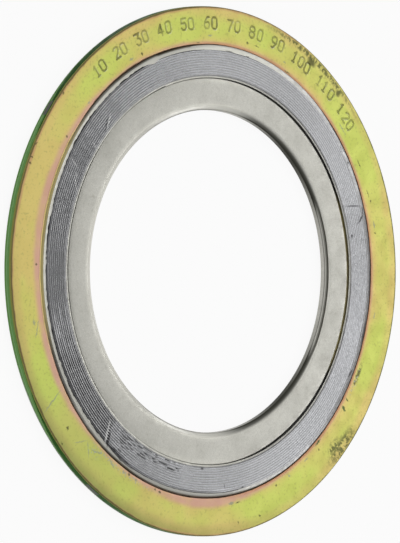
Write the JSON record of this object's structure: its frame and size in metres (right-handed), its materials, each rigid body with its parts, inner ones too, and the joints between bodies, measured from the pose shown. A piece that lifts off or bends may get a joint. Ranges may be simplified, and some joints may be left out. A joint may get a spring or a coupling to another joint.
{
  "type": "spiral wound gasket",
  "caption": "Flat round flange gasket: a centring ring, a winding of metal strip and graphite filler, and an inner ring, one inside the other.",
  "frame": {"origin": "on the axis, halfway through the gasket's thickness", "axes": "+Z along the axis, square to the sealing faces; the gasket lies flat on its lower face"},
  "size_m": [0.1748, 0.1748, 0.0044],
  "materials": {
    "outer_ring": "yellow zinc plated faces and a green painted rim with four grey stripes",
    "winding": "bright strip edges with dull graphite between them",
    "inner_ring": "satin stainless steel"
  },
  "bodies": {
    "root": {"outer_ring": "outer_ring", "winding": "winding", "inner_ring": "inner_ring"}
  },
  "joints": []
}
